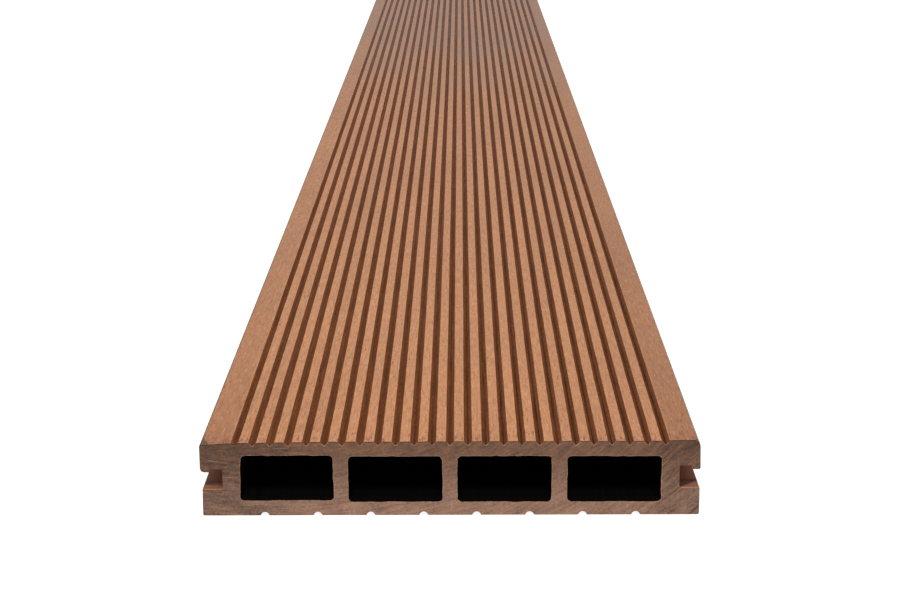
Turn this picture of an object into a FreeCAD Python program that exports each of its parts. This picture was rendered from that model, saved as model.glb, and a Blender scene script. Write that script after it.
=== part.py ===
"""Hollow decking board, extruded from wood-plastic composite and sawn to length.

The board lies flat.  X runs across its width, Y along its length and Z is up.
The origin is the middle of its underside.  Every section below is drawn on the
XZ plane and runs the whole length, as it does when the board leaves the die.
"""
import FreeCAD, Part
import os

from FreeCAD import Vector
from Sketcher import Constraint

NODE = "decking_board"
STEP_FOLDER = "parts"

# Driving sizes in millimetres, and the counts of what repeats.
SIZES = {
    "board_length": 2000,
    "board_width": 146,
    "board_thickness": 23,
    "top_edge_radius": 1.6,
    "bottom_edge_radius": 0.5,
    # V-grooves between the brushed ribs of the tread, and the plain strips beside them
    "groove_count": 25,
    "plain_strip": 9.1,
    "groove_width": 2.3,
    "groove_floor": 0.35,
    "groove_depth": 1.15,
    # hollow chambers, by the walls and webs around them
    "chamber_count": 4,
    "chamber_radius": 1.3,
    "top_wall": 4.6,
    "bottom_wall": 4.4,
    "side_wall": 5.2,
    "web_thickness": 4.75,
    # slots along both sides that take the hidden fixing clips
    "slot_depth": 6.5,
    "slot_height": 6.3,
    "slot_radius": 0.4,
    "lower_lip": 8.6,
    "lower_lip_setback": 0.25,
    "lower_lip_radius": 0.5,
    "nib_width": 2.7,
    "nib_drop": 1.0,
    "upper_lip_radius": 1.0,
    # round-topped channels that drain the underside
    "channel_count": 8,
    "channel_inset": 18.6,
    "channel_radius": 1.25,
    "channel_depth": 1.0,
}

# The sides of the board, its lips and its clip slots.
HALF_WIDTH = "sizes.board_width / 2"
LIP_FACE = "sizes.board_width / 2 - sizes.lower_lip_setback"
SLOT_BACK = "sizes.board_width / 2 - sizes.slot_depth"
SLOT_CEILING = "sizes.lower_lip + sizes.slot_height"
NIB_INNER = "sizes.board_width / 2 - sizes.nib_width"
NIB_TIP = "sizes.lower_lip + sizes.slot_height - sizes.nib_drop"

# The chambers share what the slots, side walls and webs leave of the width.
WEBS = "(sizes.chamber_count - 1) * sizes.web_thickness"
FIRST_WALL = "(sizes.slot_depth + sizes.side_wall - sizes.board_width / 2)"
CHAMBER_WIDTH = f"((-2 * {FIRST_WALL} - {WEBS}) / sizes.chamber_count)"
CHAMBER_PITCH = f"({CHAMBER_WIDTH} + sizes.web_thickness)"
CHAMBER_CEILING = "sizes.board_thickness - sizes.top_wall"

# The grooves and the channels are spread evenly between the first and the last.
FIRST_GROOVE = "(sizes.plain_strip + sizes.groove_width / 2 - sizes.board_width / 2)"
GROOVE_PITCH = f"-2 * {FIRST_GROOVE} / (sizes.groove_count - 1)"
GROOVE_BOTTOM = "sizes.board_thickness - sizes.groove_depth"
FIRST_CHANNEL = "(sizes.channel_inset - sizes.board_width / 2)"
CHANNEL_PITCH = f"-2 * {FIRST_CHANNEL} / (sizes.channel_count - 1)"
CHANNEL_CENTRE = "sizes.channel_depth - sizes.channel_radius"


def make_sheet(doc):
    """The spreadsheet of driving sizes, one named cell for each."""
    sheet = doc.addObject("Spreadsheet::Sheet", "sizes")
    for row, (name, value) in enumerate(SIZES.items(), start=1):
        sheet.set(f"A{row}", name)
        sheet.set(f"B{row}", str(value))
        sheet.setAlias(f"B{row}", name)
    doc.recompute()
    return sheet


def origin_part(body, role):
    """An origin plane or axis of the body, by its role."""
    return next(part for part in body.Origin.OriginFeatures if part.Role == role)


def section_sketch(body, name):
    """An empty sketch of a section across the board: X across, Z up."""
    sketch = body.newObject("Sketcher::SketchObject", name)
    sketch.AttachmentSupport = (origin_part(body, "XZ_Plane"), [""])
    sketch.MapMode = "FlatFace"
    return sketch


def pin_point(sketch, line, end, label, across, height):
    """Tie one end of a line to its distance from the axes, as two formulas."""
    place = sketch.getPoint(line, end)
    for kind, tag, value, formula in (
        ("DistanceX", "x", place.x, across),
        ("DistanceY", "z", place.y, height),
    ):
        index = sketch.addConstraint(Constraint(kind, -1, 1, line, end, value))
        sketch.renameConstraint(index, f"{label}_{tag}")
        sketch.setExpression(f"Constraints.{label}_{tag}", formula)


def draw_outline(sketch, corners):
    """A closed outline through named corners, each given as two formulas."""
    places = [
        Vector(sketch.evalExpression(across), sketch.evalExpression(height), 0)
        for _, across, height in corners
    ]
    following = places[1:] + places[:1]
    lines = [sketch.addGeometry(Part.LineSegment(a, b)) for a, b in zip(places, following)]
    for line, after in zip(lines, lines[1:] + lines[:1]):
        sketch.addConstraint(Constraint("Coincident", line, 2, after, 1))
    for line, (label, across, height) in zip(lines, corners):
        pin_point(sketch, line, 1, label, across, height)


def cut_along(body, sketch, name):
    """Cut a section through the whole length of the board."""
    cut = body.newObject("PartDesign::Pocket", name)
    cut.Profile = sketch
    cut.Type = "ThroughAll"
    cut.Midplane = True
    return cut


def repeat_across(body, feature, name, pitch, count):
    """Repeat a cut across the board, towards +X."""
    pattern = body.newObject("PartDesign::LinearPattern", name)
    pattern.Originals = [feature]
    pattern.Direction = (origin_part(body, "X_Axis"), [""])
    pattern.Mode = "Spacing"
    pattern.setExpression("Offset", pitch)
    pattern.setExpression("Occurrences", count)
    body.Tip = pattern
    return pattern


def make_blank(body):
    """The solid board before anything is cut into it."""
    sketch = section_sketch(body, "board_section")
    draw_outline(sketch, [
        ("left_foot", f"-{HALF_WIDTH}", "0"),
        ("right_foot", HALF_WIDTH, "0"),
        ("right_top", HALF_WIDTH, "sizes.board_thickness"),
        ("left_top", f"-{HALF_WIDTH}", "sizes.board_thickness"),
    ])
    pad = body.newObject("PartDesign::Pad", "board_blank")
    pad.Profile = sketch
    pad.Midplane = True
    pad.setExpression("Length", "sizes.board_length")


def cut_clip_slots(body):
    """A slot along each side, with a nib under its upper lip.

    The lower lip stands back a little, so the cut runs on down its face.
    """
    sketch = section_sketch(body, "clip_slot_section")
    draw_outline(sketch, [
        ("slot_foot", SLOT_BACK, "sizes.lower_lip"),
        ("slot_top", SLOT_BACK, SLOT_CEILING),
        ("nib_root", NIB_INNER, SLOT_CEILING),
        ("nib_inside", NIB_INNER, NIB_TIP),
        ("nib_outside", HALF_WIDTH, NIB_TIP),
        ("lip_outside", HALF_WIDTH, "0"),
        ("lip_foot", LIP_FACE, "0"),
        ("lip_top", LIP_FACE, "sizes.lower_lip"),
    ])
    cut = cut_along(body, sketch, "clip_slot")
    mirror = body.newObject("PartDesign::Mirrored", "clip_slots")
    mirror.Originals = [cut]
    mirror.MirrorPlane = (origin_part(body, "YZ_Plane"), [""])
    body.Tip = mirror


def cut_chambers(body):
    """The row of hollow chambers, with a web between each two."""
    right = f"{FIRST_WALL} + {CHAMBER_WIDTH}"
    sketch = section_sketch(body, "chamber_section")
    draw_outline(sketch, [
        ("floor_left", FIRST_WALL, "sizes.bottom_wall"),
        ("floor_right", right, "sizes.bottom_wall"),
        ("ceiling_right", right, CHAMBER_CEILING),
        ("ceiling_left", FIRST_WALL, CHAMBER_CEILING),
    ])
    cut = cut_along(body, sketch, "chamber")
    repeat_across(body, cut, "chambers", CHAMBER_PITCH, "sizes.chamber_count")


def cut_grooves(body):
    """The V-grooves of the tread, each with a narrow flat floor."""
    sketch = section_sketch(body, "groove_section")
    draw_outline(sketch, [
        ("mouth_left", f"{FIRST_GROOVE} - sizes.groove_width / 2", "sizes.board_thickness"),
        ("floor_left", f"{FIRST_GROOVE} - sizes.groove_floor / 2", GROOVE_BOTTOM),
        ("floor_right", f"{FIRST_GROOVE} + sizes.groove_floor / 2", GROOVE_BOTTOM),
        ("mouth_right", f"{FIRST_GROOVE} + sizes.groove_width / 2", "sizes.board_thickness"),
    ])
    cut = cut_along(body, sketch, "groove")
    repeat_across(body, cut, "grooves", GROOVE_PITCH, "sizes.groove_count")


def cut_channels(body):
    """The round-topped channels of the underside."""
    sketch = section_sketch(body, "channel_section")
    across, height = (sketch.evalExpression(f) for f in (FIRST_CHANNEL, CHANNEL_CENTRE))
    radius = sketch.evalExpression("sizes.channel_radius")
    circle = sketch.addGeometry(Part.Circle(Vector(across, height, 0), Vector(0, 0, 1), radius))
    pin_point(sketch, circle, 3, "channel", FIRST_CHANNEL, CHANNEL_CENTRE)
    index = sketch.addConstraint(Constraint("Radius", circle, radius))
    sketch.renameConstraint(index, "channel_radius")
    sketch.setExpression("Constraints.channel_radius", "sizes.channel_radius")
    cut = cut_along(body, sketch, "channel")
    repeat_across(body, cut, "channels", CHANNEL_PITCH, "sizes.channel_count")


def edges_at(shape, places):
    """Names of the lengthwise edges that pass through the given (x, z) places."""
    near = 0.001
    names = []
    for number, edge in enumerate(shape.Edges, start=1):
        if len(edge.Vertexes) != 2:
            continue
        start, end = (vertex.Point for vertex in edge.Vertexes)
        along = abs(start.x - end.x) < near and abs(start.z - end.z) < near
        if along and any(abs(start.x - x) < near and abs(start.z - z) < near for x, z in places):
            names.append(f"Edge{number}")
    return names


def round_edges(body, sheet, name, radius, corners):
    """Round the lengthwise edges at the given corners, on both sides of the board.

    A corner is two formulas, of its distance from the middle and of its height.
    """
    places = [(sheet.evalExpression(x), sheet.evalExpression(z)) for x, z in corners]
    places += [(-x, z) for x, z in places]
    base = body.Tip
    body.Document.recompute()
    fillet = body.newObject("PartDesign::Fillet", name)
    fillet.Base = (base, edges_at(base.Shape, places))
    fillet.setExpression("Radius", f"sizes.{radius}")
    body.Tip = fillet


def round_board(body, sheet):
    """All the rounded corners of the section, each kind by its own radius."""
    round_edges(body, sheet, "top_edges", "top_edge_radius",
                [(HALF_WIDTH, "sizes.board_thickness")])
    round_edges(body, sheet, "bottom_edges", "bottom_edge_radius", [(LIP_FACE, "0")])
    round_edges(body, sheet, "lower_lip_edges", "lower_lip_radius",
                [(LIP_FACE, "sizes.lower_lip")])
    round_edges(body, sheet, "upper_lip_edges", "upper_lip_radius", [(HALF_WIDTH, NIB_TIP)])
    round_edges(body, sheet, "slot_corners", "slot_radius",
                [(SLOT_BACK, "sizes.lower_lip"), (SLOT_BACK, SLOT_CEILING)])
    left_walls = [f"{FIRST_WALL} + {i} * {CHAMBER_PITCH}" for i in range(int(sheet.chamber_count))]
    walls = left_walls + [f"{wall} + {CHAMBER_WIDTH}" for wall in left_walls]
    round_edges(body, sheet, "chamber_corners", "chamber_radius",
                [(x, z) for x in walls for z in ("sizes.bottom_wall", CHAMBER_CEILING)])


def make_board(doc, sheet):
    """The whole board as one body."""
    body = doc.addObject("PartDesign::Body", NODE)
    body.Label = NODE
    make_blank(body)
    for cut in (cut_clip_slots, cut_chambers, cut_grooves, cut_channels):
        before = recomputed_volume(doc, body)
        cut(body)
        if recomputed_volume(doc, body) >= before:
            raise RuntimeError(f"{cut.__name__} took nothing off the board")
    round_board(body, sheet)
    body.Placement = FreeCAD.Placement()
    return body


def recomputed_volume(doc, body):
    doc.recompute()
    return body.Shape.Volume


def check(doc, body):
    """Stop if anything in the document failed, or the board isn't one sound solid."""
    failed = [o.Name for o in doc.Objects if {"Invalid", "Error"} & set(o.State)]
    if failed:
        raise RuntimeError(f"failed: {failed}")
    if body.Shape.isNull() or not body.Shape.isValid() or len(body.Shape.Solids) != 1:
        raise RuntimeError("the board isn't one valid solid")


def main():
    doc = FreeCAD.newDocument("decking")
    sheet = make_sheet(doc)
    board = make_board(doc, sheet)
    doc.recompute()
    check(doc, board)
    os.makedirs(STEP_FOLDER, exist_ok=True)
    board.Shape.exportStep(os.path.join(STEP_FOLDER, f"{board.Label}.step"))
    print(f"{board.Label}: {board.Shape.Volume / 1000:.1f} cm3, {len(board.Shape.Faces)} faces")


main()
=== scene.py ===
"""Looks of the hollow decking board: brushed, grooved tread, extruded skin, sawn ends, dark chambers.

X runs across the board, Y along it and Z is up.  The section is drawn in millimetres and
carried along Y, and the mesh is made in metres.
"""
import math

import bpy
import numpy as np
from mathutils import Matrix, Vector, geometry


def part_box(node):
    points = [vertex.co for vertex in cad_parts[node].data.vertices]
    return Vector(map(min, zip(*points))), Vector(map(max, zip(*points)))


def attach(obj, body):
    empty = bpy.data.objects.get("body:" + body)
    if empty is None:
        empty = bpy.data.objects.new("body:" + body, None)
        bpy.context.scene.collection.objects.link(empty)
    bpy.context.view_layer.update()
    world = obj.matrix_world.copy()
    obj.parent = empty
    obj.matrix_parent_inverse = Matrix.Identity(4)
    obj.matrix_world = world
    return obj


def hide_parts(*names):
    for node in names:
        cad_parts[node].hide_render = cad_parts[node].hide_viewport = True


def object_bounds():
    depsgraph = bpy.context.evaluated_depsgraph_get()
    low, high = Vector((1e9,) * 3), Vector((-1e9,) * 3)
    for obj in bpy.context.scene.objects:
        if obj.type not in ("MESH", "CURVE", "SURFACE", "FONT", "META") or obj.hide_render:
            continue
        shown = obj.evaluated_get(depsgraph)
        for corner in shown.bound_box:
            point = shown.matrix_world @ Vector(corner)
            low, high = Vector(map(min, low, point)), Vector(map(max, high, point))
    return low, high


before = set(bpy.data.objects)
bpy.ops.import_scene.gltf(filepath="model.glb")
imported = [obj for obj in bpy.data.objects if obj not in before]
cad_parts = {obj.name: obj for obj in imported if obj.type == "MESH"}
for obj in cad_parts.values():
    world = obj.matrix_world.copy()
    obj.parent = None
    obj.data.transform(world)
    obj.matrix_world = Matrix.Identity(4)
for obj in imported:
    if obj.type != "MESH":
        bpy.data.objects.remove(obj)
cad_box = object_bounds()

NODE = "decking_board"
MM = 0.001

# The board's own box, and the walls, slots and cuts of its section, in millimetres.
LOW, HIGH = (np.array(corner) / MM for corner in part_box(NODE))
HALF_WIDTH = HIGH[0]
THICKNESS = HIGH[2]
NEAR_END, FAR_END = LOW[1], HIGH[1]
TOP_RADIUS = 1.6
BOTTOM_RADIUS = 0.5
GROOVES = 25
PLAIN_STRIP = 9.1
GROOVE_WIDTH = 2.3
GROOVE_FLOOR = 0.35
GROOVE_DEPTH = 1.15
CHAMBERS = 4
CHAMBER_RADIUS = 1.3
TOP_WALL = 4.6
BOTTOM_WALL = 4.4
SIDE_WALL = 5.2
WEB = 4.75
SLOT_DEPTH = 6.5
SLOT_HEIGHT = 6.3
SLOT_RADIUS = 0.3
LOWER_LIP = 8.6
NIB_WIDTH = 2.7
NIB_DROP = 1.0
CHANNELS = 8
CHANNEL_INSET = 18.6
CHANNEL_RADIUS = 1.25
CHANNEL_DEPTH = 1.1

# How this board departs from the drawing, in millimetres: its sides lean, its lips and slots are not a
# pair, the tread falls away at its left edge, the leftmost groove is narrow and dragged nearly shut at
# the near cut, and the walls of its chambers stand a little off their places.
LEFT_SIDE = {"draft": 0.05, "top_radius": 0.4, "nib_radius": 1.3, "nib_tip": -0.3, "lip": 0.5,
             "foot": 0.35, "lip_radius": 0.15, "slot_floor": -0.2, "slot_ceiling": -0.3, "slot_back": 0.0}
RIGHT_SIDE = {"draft": 0.2, "top_radius": 1.6, "nib_radius": 0.5, "nib_tip": 0.3, "lip": 0.05,
              "foot": 0.0, "lip_radius": 0.5, "slot_floor": 0.05, "slot_ceiling": 0.5, "slot_back": 0.4}
LEFT_SAG = 0.5
LEFT_SAG_START = -20.0
LEFT_EDGE_SLOPE = 0.055
LEFT_EDGE_REACH = 9.0
NARROW_GROOVE = 0.25
SHUT_SHARE = 0.7
SHUT_REACH = 2.2
CHAMBER_DRIFT = {"left": (0.2, -0.33, -0.25, -0.03), "right": (0.0, 0.03, 0.22, 0.39),
                 "left_foot": (-0.45, 0.0, 0.0, 0.05), "right_foot": (0.27, 0.25, 0.0, 0.0),
                 "floor": (0.3, -0.2, -0.25, -0.25), "ceiling": (0.4, 0.05, 0.1, 0.0)}

# Smooth random waves along the board, of the grooves' mouth edges and of their floors: the length of each
# wave and its size, and the most they may add up to.  Then how far the chambers' walls ripple.
EDGE_WAVES = {4: 0.018, 15: 0.018, 60: 0.02, 250: 0.03}
EDGE_LIMIT = 0.1
FLOOR_WAVES = {25: 0.048, 120: 0.06}
FLOOR_LIMIT = 0.25
CHAMBER_RIPPLE = 0.08

# How finely the rounded top edges and the plain strips of the tread are drawn, in steps.
EDGE_STEPS = 7
STRIP_STEPS = 6

FIRST_GROOVE = PLAIN_STRIP + GROOVE_WIDTH / 2 - HALF_WIDTH
GROOVE_PITCH = -2 * FIRST_GROOVE / (GROOVES - 1)
FIRST_WALL = SLOT_DEPTH + SIDE_WALL - HALF_WIDTH
CHAMBER_WIDTH = (-2 * FIRST_WALL - (CHAMBERS - 1) * WEB) / CHAMBERS
CHAMBER_PITCH = CHAMBER_WIDTH + WEB

# What each stretch of the section is: its material, by its place in the material list.  A point less
# deep than the mouth's share of a groove counts as lying on the tread's face.
TREAD, GROOVE, SKIN, BORE, SAWN = range(5)
MOUTH = 0.02

chance = np.random.default_rng(7)


def arc(centre, radius, start, stop, steps):
    """Points of an arc: the centre plus the radius times (cos, sin) of evenly spaced angles."""
    turn = np.radians(np.linspace(start, stop, steps + 1))
    return np.array(centre) + radius * np.column_stack((np.cos(turn), np.sin(turn)))


def groove_outline():
    """One V-groove about its own middle, with its two mouth edges just broken."""
    mouth, floor = GROOVE_WIDTH / 2, GROOVE_FLOOR / 2
    broken = 0.05
    left = [(-mouth - broken, 0), (-mouth, -0.04), (-(mouth + floor) / 2, -GROOVE_DEPTH / 2),
            (-floor, -GROOVE_DEPTH)]
    return np.array(left + [(-x, z) for x, z in reversed(left)])


def tread_outline():
    """The tread from left to right: plain strip, then each groove and rib, then plain strip.

    Also gives, for each point, which groove it belongs to (-1 for none), its side of that groove
    (-1 left, 1 right, 0 outside) and how deep it lies, from 0 at the mouth to 1 at the floor.
    """
    # A row holds one groove and the middle of the rib on its right, which the last groove goes without.
    groove = groove_outline()
    row = np.vstack((groove, [(GROOVE_PITCH / 2, 0)]))
    middles = FIRST_GROOVE + GROOVE_PITCH * np.arange(GROOVES)
    points = (middles[:, None, None] * [1, 0] + row).reshape(-1, 2)[:-1]
    number = np.repeat(np.arange(GROOVES)[:, None], len(row), axis=1)
    number[:, -1] = -1
    side = np.tile(np.append(np.sign(groove[:, 0]), 0), (GROOVES, 1))
    depth = np.tile(np.append(-groove[:, 1] / GROOVE_DEPTH, 0), (GROOVES, 1))

    edge = HALF_WIDTH - TOP_RADIUS - RIGHT_SIDE["draft"]
    strip = np.linspace(-edge, points[0, 0], STRIP_STEPS + 1)[1:-1]
    left = np.column_stack((strip, np.zeros_like(strip)))
    points = np.vstack((left, points, left[::-1] * [-1, 1])) + [0, THICKNESS]

    def over_strips(values, outside):
        """The values of the grooved stretch, with the outside value on both strips."""
        return np.pad(values.reshape(-1)[:-1], len(left), constant_values=outside)

    return points, over_strips(number, -1), over_strips(side, 0), over_strips(depth, 0)


def side_outline(draft, top_radius, nib_radius, nib_tip, lip, foot, lip_radius,
                 slot_floor, slot_ceiling, slot_back):
    """A right side from the tread down: rounded edge, lip with its nib, clip slot, lower lip.

    The draft is how far the top edge stands in, and lip and foot how far the lower lip's two edges do.
    The nib's tip and the slot's floor, ceiling and back are given as distances from the drawing.
    """
    back, floor = HALF_WIDTH - SLOT_DEPTH + slot_back, LOWER_LIP + slot_floor
    ceiling = LOWER_LIP + SLOT_HEIGHT + slot_ceiling
    nib, tip = HALF_WIDTH - NIB_WIDTH, LOWER_LIP + SLOT_HEIGHT - NIB_DROP + nib_tip
    inner, bevel = back + SLOT_RADIUS, 0.15
    return np.vstack((
        arc((HALF_WIDTH - top_radius - draft, THICKNESS - top_radius), top_radius, 90, 0, EDGE_STEPS),
        arc((HALF_WIDTH - nib_radius, tip + nib_radius), nib_radius, 0, -90, 5),
        [(nib + bevel, tip), (nib, tip + bevel), (nib, ceiling)],
        arc((inner, ceiling - SLOT_RADIUS), SLOT_RADIUS, 90, 180, 3),
        arc((inner, floor + SLOT_RADIUS), SLOT_RADIUS, 180, 270, 3),
        arc((HALF_WIDTH - lip - lip_radius, floor - lip_radius), lip_radius, 90, 0, 4),
        arc((HALF_WIDTH - foot - BOTTOM_RADIUS, BOTTOM_RADIUS), BOTTOM_RADIUS, 0, -90, 4),
    ))


def underside_outline():
    """The underside from right to left, with its round-topped channels.

    The mouth of a channel is flared over its lowest part, and most on its left.
    """
    flare_height, flare_right, flare_left = 0.14, 0.05, 0.25
    first = HALF_WIDTH - CHANNEL_INSET
    middles = np.linspace(first, -first, CHANNELS)
    lift = CHANNEL_DEPTH - CHANNEL_RADIUS
    mouth = math.degrees(math.asin((flare_height - lift) / CHANNEL_RADIUS))
    round_top = arc((0, lift), CHANNEL_RADIUS, mouth, 180 - mouth, 8)
    foot_right, foot_left = (CHANNEL_RADIUS + flare_right, 0), (-CHANNEL_RADIUS - flare_left, 0)
    channel = np.vstack(([foot_right], round_top, [foot_left]))
    return (middles[:, None, None] * [1, 0] + channel).reshape(-1, 2)


def board_outline():
    """The whole outer section, clockwise as seen from the near end, with each point's facts.

    The tread's facts run on: its depth goes from 0 to 1 over each rounded top edge, and is 0 further
    down.  The last fact is the material of the stretch from each point to the next.
    """
    tread, number, side, depth = tread_outline()
    right = side_outline(**RIGHT_SIDE)
    left = side_outline(**LEFT_SIDE)[::-1] * [-1, 1]
    rest = np.vstack((right, underside_outline(), left))
    points = np.vstack((tread, rest))
    number = np.concatenate((number, np.full(len(rest), -1)))
    side = np.concatenate((side, np.zeros(len(rest))))
    edge = np.linspace(0, 1, EDGE_STEPS + 1)
    depth = np.concatenate((depth, edge, np.zeros(len(rest) - 2 * len(edge)), edge[::-1]))
    kind = np.full(len(points), SKIN)
    kind[:len(tread) + EDGE_STEPS] = TREAD
    kind[-len(edge):] = TREAD
    walls = (number >= 0) & (depth > MOUTH)
    kind[walls & np.roll(walls, -1)] = GROOVE
    return points, number, side, depth, kind


def chamber_outline(number):
    """One chamber, counter-clockwise as seen from the near end: four corners of one radius.

    A point moves across by the two sides' foot drifts, mixed by its place between the sides, times
    its share of the way down.
    """
    drift = {side: by[number] for side, by in CHAMBER_DRIFT.items()}
    left = FIRST_WALL + number * CHAMBER_PITCH
    right, r = left + CHAMBER_WIDTH + drift["right"], CHAMBER_RADIUS
    left = left + drift["left"]
    low, high = BOTTOM_WALL + drift["floor"], THICKNESS - TOP_WALL + drift["ceiling"]
    across = np.linspace(left + r, right - r, 16)[1:-1]
    up = np.linspace(low + r, high - r, 7)[1:-1]
    floor = np.column_stack((across, np.full_like(across, low)))
    ceiling = np.column_stack((across[::-1], np.full_like(across, high)))
    outline = np.vstack((
        floor,
        arc((right - r, low + r), r, -90, 0, 5),
        np.column_stack((np.full_like(up, right), up)),
        arc((right - r, high - r), r, 0, 90, 5),
        ceiling,
        arc((left + r, high - r), r, 90, 180, 5),
        np.column_stack((np.full_like(up, left), up[::-1])),
        arc((left + r, low + r), r, 180, 270, 5),
    ))
    down = (high - outline[:, 1]) / (high - low)
    to_right = (outline[:, 0] - left) / (right - left)
    foot = drift["left_foot"] * (1 - to_right) + drift["right_foot"] * to_right
    return outline + np.column_stack((foot * down, np.zeros_like(down)))


def stations(near_step, near_growth, far_step, far_growth):
    """Places along the board, whose spacing grows from a step at each end by a share of the way in."""
    y = np.linspace(0, FAR_END - NEAR_END, 20001)
    spacing = np.minimum(near_step + near_growth * y, far_step + far_growth * (y[-1] - y))
    count = np.concatenate(([0], np.cumsum(np.diff(y) / spacing[1:])))
    wanted = np.linspace(0, count[-1], int(count[-1]) + 1)
    return NEAR_END + np.interp(wanted, count, y)


def wander(y, rows, waves):
    """Smooth random curves along y, one row each: random values joined by cosine easing.

    Each wave length adds its own curve, and fades out where the stations are too far apart to carry it.
    """
    spacing = np.gradient(y)
    total = np.zeros((rows, len(y)))
    for length, size in waves.items():
        knots = chance.normal(size=(rows, int((FAR_END - NEAR_END) / length) + 3))
        at = (y - NEAR_END) / length
        cell = at.astype(int)
        ease = (1 - np.cos(np.pi * (at - cell))) / 2
        carried = np.clip(length / (3 * spacing) - 0.5, 0, 1)
        total += size * carried * (knots[:, cell] * (1 - ease) + knots[:, cell + 1] * ease)
    return total


def chips(y, rows, reach, usual, longest, deepest):
    """Bites out of edges near either end, one row for each edge: bell curves at random places.

    An edge has about the usual number of bites within reach of an end, and no more than the deepest
    is taken off anywhere.
    """
    total = np.zeros((rows, len(y)))
    for row in range(rows):
        for end, inward in ((NEAR_END, 1), (FAR_END, -1)):
            number = chance.poisson(usual)
            middle = end + inward * chance.uniform(0, reach, number)
            length = chance.uniform(0.4, 1, number) * longest
            depth = chance.uniform(0.2, 1, number) * deepest
            bites = depth[:, None] * np.exp(-((y - middle[:, None]) / length[:, None]) ** 2)
            total[row] += bites.sum(0)
    return np.minimum(total, deepest)


def worn_tread(points, number, side, depth, y):
    """The outline at every station, with the grooves' edges wandering and chipped.

    A mouth edge moves across by its own curve, and the floor by the mean of its two edges.  The
    floors also rise and fall a little.  The leftmost groove is cut narrower than the rest, and rises
    towards its mouth at the near cut, by a bell curve along y.
    """
    edges = 2 * GROOVES
    shift = np.clip(wander(y, edges, EDGE_WAVES), -EDGE_LIMIT, EDGE_LIMIT)
    outward = np.repeat([[-1], [1]], GROOVES, axis=0)
    shift += outward * chips(y, edges, reach=30, usual=1.2, longest=1.1, deepest=0.1)
    left, right = shift[:GROOVES], shift[GROOVES:]
    left[0] += NARROW_GROOVE
    in_groove = number >= 0
    to_right = ((1 + side * (1 - depth)) / 2)[:, None]
    across = left[number] * (1 - to_right) + right[number] * to_right
    across = np.where(in_groove[:, None], across, 0)
    floor_rise = np.minimum(np.abs(wander(y, GROOVES, FLOOR_WAVES)), FLOOR_LIMIT)
    on_floor = in_groove & (depth > 0.9)
    rise = np.where(on_floor[:, None], floor_rise[number], 0)
    shut = SHUT_SHARE * np.exp(-((y - NEAR_END) / SHUT_REACH) ** 2)
    rise += np.where(number == 0, depth, 0)[:, None] * GROOVE_DEPTH * shut
    grid = np.empty((len(y), len(points), 3))
    grid[..., 0] = points[:, 0] + across.T
    grid[..., 1] = y[:, None]
    grid[..., 2] = points[:, 1] + rise.T - sag(points)
    return grid


def sag(points):
    """How far the tread lies below the drawing: a slope that steepens towards the left edge.

    The fall grows with the power 2.2 of the way out from its start to the edge, and by an even slope
    over the last stretch.  It fades out between 2 and 6 mm below the tread.
    """
    out = np.clip((LEFT_SAG_START - points[:, 0]) / (LEFT_SAG_START + HALF_WIDTH), 0, 1) ** 2.2
    edge = np.clip(LEFT_EDGE_REACH - HALF_WIDTH - points[:, 0], 0, None)
    top = np.clip((points[:, 1] - (THICKNESS - 6)) / 4, 0, 1)
    return (LEFT_SAG * out + LEFT_EDGE_SLOPE * edge) * top


def wavy_chamber(number, y):
    """A chamber's wall at every station: its outline, rippled at random and along a cosine wave.

    A point moves towards the chamber's middle or away from it, by up to 1.5 times the ripple.
    """
    outline = chamber_outline(number)
    inward = outline.mean(0) - outline
    inward /= np.linalg.norm(inward, axis=1)[:, None]
    ripple = np.clip(chance.normal(size=len(outline)), -1.5, 1.5)
    push = CHAMBER_RIPPLE * ripple * (0.55 + 0.45 * np.cos((y - NEAR_END) / 9))[:, None]
    grid = np.empty((len(y), len(outline), 3))
    grid[..., 0] = outline[:, 0] + push * inward[:, 0]
    grid[..., 1] = y[:, None]
    grid[..., 2] = outline[:, 1] + push * inward[:, 1]
    return grid


def tube_faces(ids):
    """The quads between the rings of a tube, whose points' numbers are given ring by ring."""
    after = np.roll(ids, -1, axis=1)
    return np.stack((ids[:-1], after[:-1], after[1:], ids[1:]), axis=2).reshape(-1, 4)


def inset(ring, distance):
    """The ring moved into the solid: each point goes along the mean normal of its two sides."""
    step = np.roll(ring, -1, axis=0) - ring
    step /= np.linalg.norm(step, axis=1)[:, None] + 1e-9
    normal = np.column_stack((step[:, 1], -step[:, 0]))
    mean = normal + np.roll(normal, 1, axis=0)
    length = np.linalg.norm(mean, axis=1)[:, None]
    return ring + distance * mean / np.maximum(length, 0.6)


def far_from(points, others, distance):
    """Which points lie further than the distance from all the others."""
    gap = np.linalg.norm(points[:, None] - others[None], axis=2)
    return gap.min(1) > distance


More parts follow.
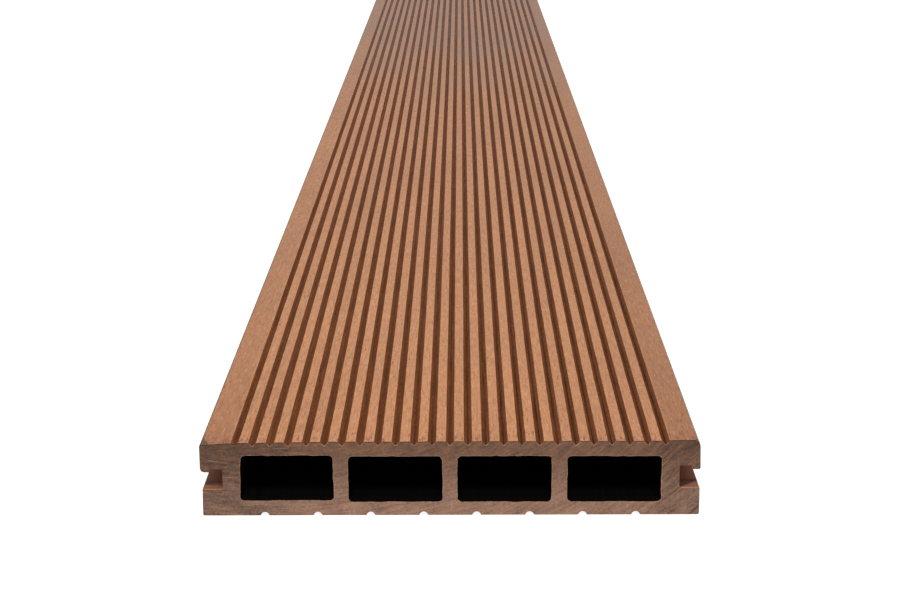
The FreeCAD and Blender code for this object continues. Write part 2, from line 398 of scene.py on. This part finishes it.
def cap(rings, spacing):
    """The flat end inside the outer ring and outside the chambers.

    Returns the extra points within it, and triangles over the rings' points followed by those.
    The extra points are a ring close inside every edge, and a staggered lattice further in.
    """
    rim_width, rim_gap, lattice_gap, lowest = 0.32, 0.12, 0.8, 0.6
    outline = np.vstack(rings)
    near = np.vstack([inset(ring, rim_width) for ring in rings])
    near = near[far_from(near, outline, rim_gap)]
    across = np.arange(-HALF_WIDTH, HALF_WIDTH, spacing)
    up = np.arange(lowest, THICKNESS, spacing * 0.87)
    x, z = np.meshgrid(across, up)
    x = x + spacing / 2 * (np.arange(len(up)) % 2)[:, None]
    lattice = np.column_stack((x.ravel(), z.ravel()))
    lattice = lattice[far_from(lattice, outline, lattice_gap)]
    for number in range(CHAMBERS):
        left = FIRST_WALL + number * CHAMBER_PITCH
        across_it = (lattice[:, 0] > left) & (lattice[:, 0] < left + CHAMBER_WIDTH)
        up_it = (lattice[:, 1] > BOTTOM_WALL) & (lattice[:, 1] < THICKNESS - TOP_WALL)
        lattice = lattice[~(across_it & up_it)]
    extra = np.vstack((near, lattice))
    ids = np.split(np.arange(len(outline)), np.cumsum([len(ring) for ring in rings])[:-1])
    loops = [ids[0][::-1].tolist()] + [loop.tolist() for loop in ids[1:]]
    points = np.vstack((outline, extra)).tolist()
    _, _, faces, source, _, owners = geometry.delaunay_2d_cdt(points, [], loops, 0, 1e-7, True)
    solid = np.array([owner == [0] for owner in owners])
    source = np.array([same[0] for same in source])
    return extra, source[np.array(faces)[solid]]


def tear_ends(outer, points, kind):
    """Move the tread's cut edges a hair behind the saw's plane at both ends, where fibres are torn out.

    The right-hand strip loses most, for its edge is broken off, ever further towards the side.
    """
    torn = 0.16 * np.abs(chance.normal(size=(2, len(points)))) * (kind == TREAD)
    out = (points[:, 0] - (HALF_WIDTH - PLAIN_STRIP)) / PLAIN_STRIP
    torn = np.minimum(torn, 0.35) + (0.45 + 0.4 * out) * ((kind == TREAD) & (out > 0))
    outer[0, :, 1] += torn[0]
    outer[-1, :, 1] -= torn[1]


def rim_values(points, number, depth, kind):
    """How the outer edge of a cut end looks: -1 where it is dark, and up to 1 where it has a pale burr.

    The tread's edge and the leftmost groove are dark.  The other grooves have a burr, strongest at
    their floors, and so have the floors of the slots.
    """
    slot_floor = (abs(points[:, 1] - LOWER_LIP) < 0.45) & (abs(points[:, 0]) > HALF_WIDTH - SLOT_DEPTH)
    return np.select(
        [number == 0, (number >= 0) & (depth > MOUTH), (kind == TREAD) & (depth < MOUTH), slot_floor],
        [-1.0, 0.53 + 0.47 * depth ** 3, -1.0, 0.8], 0.0)


def make_board():
    """The board as one closed mesh: outer skin, chamber walls and two sawn ends."""
    points, number, side, depth, kind = board_outline()
    y = stations(near_step=0.8, near_growth=0.0235, far_step=1.0, far_growth=0.09)
    outer = worn_tread(points, number, side, depth, y)
    hollow_y = stations(near_step=1.5, near_growth=0.12, far_step=1.5, far_growth=0.2)
    tubes = [outer] + [wavy_chamber(n, hollow_y) for n in range(CHAMBERS)]
    tear_ends(outer, points, kind)

    # The points of the tubes come first, tube by tube and ring by ring, and then those of the two ends.
    starts = np.cumsum([0] + [t.shape[0] * t.shape[1] for t in tubes])
    ids = [start + np.arange(t.shape[0] * t.shape[1]).reshape(t.shape[:2])
           for t, start in zip(tubes, starts)]
    places = [t.reshape(-1, 3) for t in tubes]
    faces = [tube_faces(tube_ids) for tube_ids in ids]
    kinds = [np.tile(kind, len(y) - 1)] + [np.full(len(quads), BORE) for quads in faces[1:]]
    total = starts[-1]
    for end, plane in ((0, NEAR_END), (-1, FAR_END)):
        rings = [t[end][:, [0, 2]] for t in tubes]
        extra, triangles = cap(rings, spacing=2.1)
        end_ids = np.concatenate([tube_ids[end] for tube_ids in ids] + [total + np.arange(len(extra))])
        places.append(np.column_stack((extra[:, 0], np.full(len(extra), plane), extra[:, 1])))
        total += len(extra)
        # Each triangle is turned to face outwards.
        flat = np.vstack(rings + [extra])
        a, b, c = (flat[triangles[:, k]] for k in range(3))
        turn = (b - a)[:, 0] * (c - a)[:, 1] - (b - a)[:, 1] * (c - a)[:, 0]
        triangles = np.where((turn > 0)[:, None] == (end == 0), triangles, triangles[:, ::-1])
        faces.append(end_ids[triangles])
        kinds.append(np.full(len(triangles), SAWN))

    places = np.vstack(places)
    mesh = bpy.data.meshes.new("board")
    mesh.from_pydata((places * MM).tolist(), [], [face for group in faces for face in group.tolist()])
    mesh.polygons.foreach_set("material_index", np.concatenate(kinds).astype(np.int32))

    # The materials read two values at each point: the rim of the cut ends, and the depth of the tread.
    rim, below = np.zeros((2, len(places)), np.float32)
    for end in (0, -1):
        rim[ids[0][end]] = rim_values(points, number, depth, kind)
        for tube_ids in ids[1:]:
            rim[tube_ids[end]] = 0.7
    below[ids[0]] = depth
    for name, values in (("rim", rim), ("below", below)):
        mesh.attributes.new(name, "FLOAT", "POINT").data.foreach_set("value", values)
    mesh.shade_smooth()
    mesh.set_sharp_from_angle(angle=math.radians(24))
    mesh.validate()
    board = bpy.data.objects.new("board", mesh)
    bpy.context.scene.collection.objects.link(board)
    return board


class Signal:
    """A node's output in a material, on which arithmetic adds Math nodes."""

    def __init__(self, paint, socket):
        self.paint = paint
        self.socket = socket

    def math(self, operation, *terms):
        """A Math node with the terms on its sockets, in their order."""
        return self.paint.node("ShaderNodeMath", {"operation": operation}, dict(enumerate(terms)))

    def __add__(self, other):
        return self.math("ADD", self, other)

    def __sub__(self, other):
        return self.math("SUBTRACT", self, other)

    def __rsub__(self, other):
        return self.math("SUBTRACT", other, self)

    def __mul__(self, other):
        return self.math("MULTIPLY", self, other)

    def __truediv__(self, other):
        return self.math("DIVIDE", self, other)

    def __abs__(self):
        return self.math("ABSOLUTE", self)

    def __pow__(self, other):
        return self.math("POWER", self, other)

    __radd__ = __add__
    __rmul__ = __mul__

    def floor(self):
        return self.math("FLOOR", self)

    def between(self, low, high):
        """0 up to low and 1 from high on, with a smooth rise, or the reverse when high is the lower."""
        low, high, out = (low, high, (0.0, 1.0)) if low <= high else (high, low, (1.0, 0.0))
        return self.paint.node("ShaderNodeMapRange", {"interpolation_type": "SMOOTHSTEP"}, {
            "Value": self, "From Min": low, "From Max": high, "To Min": out[0], "To Max": out[1]})


class Paint:
    """A material or world under construction; a material has the object's coordinates in millimetres."""

    def __init__(self, name="", world=None):
        if world:
            self.tree = world.node_tree
            self.shader = self.tree.nodes["Background"]
            return
        self.material = bpy.data.materials.new(name)
        self.material.use_nodes = True
        self.tree = self.material.node_tree
        self.shader = self.tree.nodes["Principled BSDF"]
        place = self.node("ShaderNodeTexCoord", {}, {}, "Object")
        self.place = self.node("ShaderNodeVectorMath", {"operation": "SCALE"},
                               {"Vector": place, "Scale": 1 / MM})
        self.x, self.y, self.z = (
            self.node("ShaderNodeSeparateXYZ", {}, {"Vector": self.place}, axis) for axis in "XYZ")

    def node(self, kind, settings, values, output=0):
        """A node of a kind: its settings, the values or links of its sockets, and the output wanted."""
        made = self.tree.nodes.new(kind)
        for name, value in settings.items():
            setattr(made, name, value)
        for name, value in values.items():
            self.fill(made.inputs[name], value)
        return Signal(self, made.outputs[output])

    def fill(self, socket, value):
        """Link a signal to a socket, or set its value."""
        if isinstance(value, Signal):
            self.tree.links.new(value.socket, socket)
        else:
            socket.default_value = value

    def vector(self, x, y, z):
        return self.node("ShaderNodeCombineXYZ", {}, {"X": x, "Y": y, "Z": z})

    def uneven(self, place, scale, detail, roughness):
        """Smooth noise about 0, mostly between -1 and 1, with one wave to a unit of the place at scale 1."""
        spread = 7.0
        noise = self.node("ShaderNodeTexNoise", {"noise_dimensions": "3D"},
                          {"Vector": place, "Scale": scale, "Detail": detail, "Roughness": roughness}, "Fac")
        return (noise - 0.5) * spread

    def mix(self, share, first, second, blend="MIX"):
        """Two colours mixed by a share."""
        # The node has one set of sockets for each data type under the same names, so they go by number.
        factor, colour_a, colour_b, colour_out = 0, 6, 7, 2
        return self.node("ShaderNodeMix", {"data_type": "RGBA", "blend_type": blend, "clamp_factor": True},
                         {factor: share, colour_a: first, colour_b: second}, colour_out)

    def shade(self, colour, amount):
        """A colour made lighter or darker: every channel times the amount."""
        grey = self.node("ShaderNodeCombineColor", {}, {"Red": amount, "Green": amount, "Blue": amount})
        return self.mix(1.0, colour, grey, "MULTIPLY")

    def finish(self, colour, roughness, height, strength, distance):
        """Feed the shader: colour, roughness, and a bump from a height."""
        self.fill(self.shader.inputs["Base Color"], colour)
        self.fill(self.shader.inputs["Roughness"], roughness)
        normal = self.node("ShaderNodeBump", {},
                           {"Strength": strength, "Distance": distance, "Height": height})
        self.fill(self.shader.inputs["Normal"], normal)
        return self.material


def srgb(red, green, blue):
    """A colour as it looks on screen, 0 to 255, turned into the shader's linear values."""
    share = np.array((red, green, blue)) / 255
    linear = np.where(share <= 0.04045, share / 12.92, ((share + 0.055) / 1.055) ** 2.4)
    return (*linear.tolist(), 1.0)


# The grey of the painted sheen, which stands in for the reflection seen at grazing angles.
PAINTED_SHEEN_TONE = srgb(134, 124, 120)


def painted_sheen(paint):
    """How much painted sheen lies on the tread, a grey film standing in for the grey reflection at grazing
    angles: none near the ends, and a thin uneven film at mid-length.
    """
    film = paint.uneven(paint.vector(paint.x * 0.03, paint.y * 0.008, 7.0), 1.0, 3.0, 0.55)
    return (abs(paint.y) - film * 60.0).between(470.0, 60.0) * (0.27 + film * 0.08)


def tread_material():
    """The brushed faces of the ribs and strips, which fade into the skin round the board's edges."""
    paint = Paint("brushed_tread")
    x, y, z = paint.x, paint.y, paint.z
    fibre = paint.uneven(paint.vector(x * 1.9, y * 0.13, z), 1.0, 3.0, 0.65)
    hair = paint.uneven(paint.vector(x * 4.5, y * 0.35, z), 1.0, 2.0, 0.5)
    mottle = paint.uneven(paint.vector(x * 1.1, y * 0.5, z), 1.0, 3.0, 0.6)
    blush = paint.uneven(paint.vector(x * 0.6, y * 0.2, 5.0), 1.0, 3.0, 0.6)
    patch = paint.uneven(paint.vector(x * 0.06, y * 0.012, 0.0), 1.0, 2.0, 0.5)
    rib = ((x - (FIRST_GROOVE + GROOVE_PITCH / 2)) / GROOVE_PITCH + 0.5).floor()
    tint = paint.node("ShaderNodeTexWhiteNoise", {"noise_dimensions": "1D"}, {"W": rib}, "Value")

    # The grain runs from ochre to straw, and blushes grey or red in patches.  Each rib has its own tint,
    # and the right half is a little darker.
    ochre, straw = srgb(189, 122, 71), srgb(223, 158, 105)
    grey, red = srgb(184, 146, 116), srgb(226, 134, 78)
    brushed = paint.mix(0.5 + fibre * 0.45, ochre, straw)
    brushed = paint.mix(0.5 + blush * 0.55, paint.mix(0.14, brushed, grey), paint.mix(0.3, brushed, red))
    brushed = paint.shade(brushed, 1.0 + mottle * 0.07 + hair * 0.08 + patch * 0.05 + (tint - 0.5) * 0.05
                          - x.between(15.0, 55.0) * 0.05)

    # The strips are brushed less than the ribs, and least at the cut ends.
    unbrushed_tone = srgb(124, 66, 30)
    strip = HALF_WIDTH - PLAIN_STRIP
    end_part = abs(y).between(FAR_END - 520, FAR_END - 100)
    near_cut = abs(y).between(FAR_END - 90, FAR_END)
    to_end = abs(y).between(FAR_END - 16, FAR_END - 2)
    on_left, on_right = x.between(-strip + 1, -strip - 1), x.between(strip - 1, strip + 1)
    unbrushed = (on_left * (0.02 + end_part * 0.17 + near_cut * 0.15 + to_end * 0.12)
                 + on_right * (0.13 + end_part * 0.21 + near_cut * 0.1))
    strips = on_left + on_right
    brushed = paint.mix(unbrushed + strips * (blush * 0.05 + hair * 0.05), brushed, unbrushed_tone)

    # Short dark and pale fibres, and dark flecks and smudges on the last stretch before a cut end.
    dark_tone, pale_tone, smudge_tone = srgb(118, 60, 38), srgb(228, 182, 146), srgb(154, 84, 56)
    dark = paint.uneven(paint.vector(x * 1.7, y * 0.2, 2.0), 1.0, 1.0, 0.4)
    pale = paint.uneven(paint.vector(x * 1.5, y * 0.2, 8.0), 1.0, 1.0, 0.4)
    smudge = paint.uneven(paint.vector(x * 0.8, y * 0.22, 6.0), 1.0, 3.0, 0.6)
    dark = dark + to_end * 0.45 + strips * 0.15
    brushed = paint.mix(dark.between(1.35, 1.8) * 0.65, brushed, dark_tone)
    brushed = paint.mix(pale.between(0.9, 1.6) * 0.35, brushed, pale_tone)
    brushed = paint.mix((smudge + to_end * 1.1).between(1.3, 1.9) * 0.6, brushed, smudge_tone)
    # Painted sheen: a grey film at mid-length for the reflection at grazing angles.
    brushed = paint.mix(painted_sheen(paint), brushed, PAINTED_SHEEN_TONE)

    # The edges are darker: a thread of painted shade along the rounded left edge, and both edges at their
    # corners by the cut ends.
    dark_edge_tone = srgb(98, 66, 45)
    corner = (FAR_END - abs(y)).between(7.0, 0.0)
    dark_edge = x.between(1.0, -1.0) * (0.45 + corner * 2.3) + x.between(-1.0, 1.0) * corner * 1.5
    dark_edge = (abs(x) + dark_edge + mottle * 0.2).between(HALF_WIDTH - 0.35, HALF_WIDTH + 0.35)
    brushed = paint.mix(dark_edge * 0.9, brushed, dark_edge_tone)

    # Down the rounded edges and the mouths of the grooves the brushing gives way to the skin.
    skin = paint.mix(0.5 + hair * 0.4, srgb(112, 70, 46), srgb(138, 92, 64))
    below = paint.node("ShaderNodeAttribute", {"attribute_name": "below"}, {}, "Fac")
    colour = paint.mix((below + mottle * 0.08).between(0.35, 0.95), brushed, skin)
    height = fibre * 0.4 + hair * 0.25 + mottle * 0.2
    return paint.finish(colour, 0.2 + fibre * 0.02, height, 0.2, 0.00004)


def groove_material():
    """The grooves' walls as they left the die, dark and matt, with a line of painted shade along the floor.
    """
    paint = Paint("groove_skin")
    x, y = paint.x, paint.y
    below = paint.node("ShaderNodeAttribute", {"attribute_name": "below"}, {}, "Fac")
    drawn = paint.uneven(paint.vector(x * 2.6, y * 0.05, below * 2.0), 1.0, 3.0, 0.6)
    mottle = paint.uneven(paint.vector(x * 1.3, y * 0.4, 3.0), 1.0, 3.0, 0.6)
    colour = paint.mix(0.5 + drawn * 0.45, srgb(107, 61, 33), srgb(138, 83, 48))
    colour = paint.shade(colour, 1.0 + mottle * 0.16)
    # The painted shade in the crease is strongest on the right-hand side and near the cut ends.
    crease_shade_tone = srgb(36, 12, 6)
    crease_shade_noise = paint.uneven(paint.vector(x * 0.4, y * 0.06, 11.0), 1.0, 2.0, 0.5)
    strong = 0.3 + 0.5 * x.between(-60.0, 45.0) + crease_shade_noise * 0.15
    strong = strong * (0.6 + 0.4 * abs(y).between(FAR_END - 750, FAR_END - 250))
    colour = paint.mix((below + drawn * 0.03).between(0.93, 0.99) * strong, colour, crease_shade_tone)
    # Painted sheen: a grey film at mid-length for the reflection at grazing angles.
    colour = paint.mix(painted_sheen(paint), colour, PAINTED_SHEEN_TONE)
    paint.shader.inputs["Specular IOR Level"].default_value = 0.02
    return paint.finish(colour, 0.22 + drawn * 0.02, drawn * 0.5 + mottle * 0.3, 0.2, 0.00005)


def skin_material():
    """The skin left by the die on the sides, in the slots and underneath: satin, with long drawn lines."""
    paint = Paint("extruded_skin")
    x, y, z = paint.x, paint.y, paint.z
    drawn = paint.uneven(paint.vector(x * 1.8, y * 0.012, z * 1.8), 1.0, 4.0, 0.6)
    blotch = paint.uneven(paint.vector(x * 0.2, y * 0.05, z * 0.2), 1.0, 3.0, 0.6)
    grit = paint.uneven(paint.place, 1.6, 2.0, 0.6)
    colour = paint.mix(0.5 + drawn * 0.4, srgb(118, 72, 46), srgb(146, 94, 64))
    # The slots are redder than the rest, and carry painted light just inside the cut ends, where the lamp
    # reaches under the lips, most at their mouths.
    red_tone, painted_light_tone, painted_shadow_tone = srgb(176, 92, 44), srgb(158, 112, 82), srgb(72, 42, 28)
    slot_middle = LOWER_LIP + SLOT_HEIGHT / 2
    in_slot = abs(z - slot_middle).between(4.8, 3.4)
    colour = paint.mix(in_slot * 0.4, colour, red_tone)
    right_hand = x.between(-1.0, 1.0)
    from_end, from_side = FAR_END - abs(y), HALF_WIDTH - abs(x)
    inward = from_end + from_side * (0.32 + 0.63 * right_hand) + (1 - right_hand) * 1.6 + blotch * 0.4
    colour = paint.mix(inward.between(6.0, 4.6) * in_slot * 0.45, colour, painted_light_tone)
    # Behind the painted light the slots' floors carry a painted shadow of the upper lips, the right-hand one
    # most.
    painted_shadow = inward.between(4.6, 6.0) * from_end.between(7.5, 5.0) * z.between(9.8, 9.2)
    colour = paint.mix(painted_shadow * in_slot * (0.55 + 0.4 * right_hand), colour, painted_shadow_tone)
    colour = paint.shade(colour, 1.0 + blotch * 0.08 + grit * 0.08)
    height = drawn * 0.4 + grit * 0.12
    paint.shader.inputs["Specular IOR Level"].default_value = 0.25
    return paint.finish(colour, 0.5 + blotch * 0.06, height, 0.35, 0.00005)


def bore_material():
    """The chambers' walls: the skin painted nearly black, as painted shade, for they are never lit."""
    paint = Paint("chamber_painted_shade")
    drawn = paint.uneven(paint.vector(paint.x * 1.2, paint.y * 0.02, paint.z * 1.2), 1.0, 3.0, 0.6)
    colour = paint.mix(0.5 + drawn * 0.3, srgb(6, 4, 3), srgb(16, 11, 9))
    paint.shader.inputs["Specular IOR Level"].default_value = 0.05
    return paint.finish(colour, 0.9 + drawn * 0.03, drawn, 0.3, 0.00005)


def sawn_material():
    """The sawn ends: mottled fibre, arcs left by the saw's teeth, and a burr along the cut edges.

    The arcs are noise drawn out along circles about the saw's middle: across them by the distance
    from it, and along them by the angle about it, times a mean radius.
    """
    paint = Paint("sawn_end")
    x, z = paint.x, paint.z
    saw_x, saw_z, mean_radius = -52.0, 142.0, 130.0
    across, down = x - saw_x, saw_z - z
    reach = (across ** 2.0 + down ** 2.0) ** 0.5
    turn = across.math("ARCTAN2", across, down) * mean_radius
    stroke = paint.uneven(paint.vector(reach * 1.2, turn * 0.12, 0.0), 1.0, 3.0, 0.6)
    scratch = paint.uneven(paint.vector(reach * 2.4, turn * 0.1, 4.0), 1.0, 2.0, 0.5)
    clump = paint.uneven(paint.vector(reach * 0.35, turn * 0.16, 9.0), 1.0, 4.0, 0.65)
    grain = paint.uneven(paint.place, 1.3, 3.0, 0.65)
    blush = paint.uneven(paint.place, 0.45, 3.0, 0.6)

    # The face is paler towards the underside, reddish in patches, and darker out at either side.
    foot_tone, top_tone, red_tone = srgb(176, 139, 119), srgb(122, 91, 74), srgb(176, 116, 72)
    colour = paint.mix(z.between(1.0, THICKNESS - 1), foot_tone, top_tone)
    colour = paint.mix(0.5 + blush * 0.4, colour, paint.mix(0.4, colour, red_tone))
    amount = 0.92 + clump * 0.14 + stroke * 0.14 + grain * 0.17
    amount = amount - x.between(-40.0, -62.0) * 0.33 - x.between(54.0, 66.0) * 0.24
    colour = paint.shade(colour, amount)
    colour = paint.mix(scratch.between(0.9, 1.5) * 0.45, colour, srgb(205, 160, 130))
    colour = paint.mix(scratch.between(-1.0, -1.6) * 0.3, colour, srgb(80, 56, 44))
    # The cut edges carry a pale burr, or are dark where the rim value is below 0.
    burr_tone, dark_tone = srgb(212, 168, 138), srgb(68, 38, 28)
    rim = paint.node("ShaderNodeAttribute", {"attribute_name": "rim"}, {}, "Fac")
    colour = paint.mix(rim.between(0.25, 0.75) * (0.65 + grain * 0.45), colour, burr_tone)
    colour = paint.mix((rim * -1.0).between(0.1, 0.4) * 0.9, colour, dark_tone)
    height = stroke * 0.4 + scratch * 0.3 + grain * 0.3
    return paint.finish(colour, 0.8 + grain * 0.03, height, 0.6, 0.0001)


def make_floor():
    """A wide pale floor at the board's underside, white to the camera where it isn't shadowed."""
    mesh = bpy.data.meshes.new("floor")
    reach = 30.0
    level = cad_box[0][2]
    corners = [(x * reach, y * reach, level) for x, y in ((-1, -1), (1, -1), (1, 1), (-1, 1))]
    mesh.from_pydata(corners, [], [(0, 1, 2, 3)])
    floor = bpy.data.objects.new("floor", mesh)
    bpy.context.scene.collection.objects.link(floor)
    paint = Paint("pale_floor")
    seen = paint.node("ShaderNodeLightPath", {}, {}, "Is Camera Ray")
    colour = paint.mix(seen, (0.62, 0.62, 0.62, 1.0), (0.4, 0.4, 0.4, 1.0))
    paint.fill(paint.shader.inputs["Base Color"], colour)
    paint.shader.inputs["Roughness"].default_value = 1.0
    paint.shader.inputs["Specular IOR Level"].default_value = 0.0
    paint.fill(paint.shader.inputs["Emission Color"],
               paint.mix(seen, (0.0, 0.0, 0.0, 1.0), (0.9, 0.9, 0.9, 1.0)))
    paint.shader.inputs["Emission Strength"].default_value = 1.0
    mesh.materials.append(paint.material)


def make_light():
    """A world that is dim at the horizon and pale overhead, and one broad soft lamp above the near end."""
    world = bpy.data.worlds.new("studio")
    bpy.context.scene.world = world
    world.use_nodes = True
    sky = Paint(world=world)
    way = sky.node("ShaderNodeTexCoord", {}, {}, "Generated")
    up = sky.node("ShaderNodeSeparateXYZ", {}, {"Vector": way}, "Z")
    glow = 0.2 + 0.54 * up.between(0.0, 1.0)
    seen = sky.node("ShaderNodeLightPath", {}, {}, "Is Camera Ray")
    sky.fill(sky.shader.inputs["Strength"], glow.math("MAXIMUM", glow, seen))
    sky.shader.inputs["Color"].default_value = (1.0, 1.0, 1.0, 1.0)

    sun = bpy.data.lights.new("soft_sun", "SUN")
    sun.energy = 1.4
    sun.angle = math.radians(14)
    lamp = bpy.data.objects.new("soft_sun", sun)
    lamp.rotation_euler = Vector((0.0, -0.7, 1.0)).to_track_quat("Z", "Y").to_euler()
    bpy.context.scene.collection.objects.link(lamp)


def make_camera():
    """The photograph's view: a long lens low over the near end, looking along the board.

    The place, angles and focal length were fitted to the photograph, and the last is in its pixels.
    """
    focal_pixels, picture_width, sensor_width = 1748.7, 900, 36.0
    pitch, yaw, roll = (math.radians(a) for a in (16.304, -0.394, -0.309))
    place = Vector((3.54, NEAR_END - 475.4, 204.85)) * MM
    ahead = Vector((math.sin(yaw) * math.cos(pitch), math.cos(yaw) * math.cos(pitch), -math.sin(pitch)))
    level = ahead.cross(Vector((0, 0, 1))).normalized()
    upright = level.cross(ahead)
    right = math.cos(roll) * level + math.sin(roll) * upright
    up = math.cos(roll) * upright - math.sin(roll) * level
    data = bpy.data.cameras.new("camera")
    data.sensor_fit = "HORIZONTAL"
    data.sensor_width = sensor_width
    data.lens = sensor_width * focal_pixels / picture_width
    data.clip_start = 0.01
    camera = bpy.data.objects.new("camera", data)
    camera.matrix_world = Matrix.Translation(place) @ Matrix((right, up, -ahead)).transposed().to_4x4()
    bpy.context.scene.collection.objects.link(camera)
    bpy.context.scene.camera = camera


board = make_board()
for material in (tread_material(), groove_material(), skin_material(), bore_material(), sawn_material()):
    board.data.materials.append(material)
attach(board, "root")
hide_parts(NODE)

make_floor()
make_light()
make_camera()
bpy.context.scene.view_settings.view_transform = "Standard"
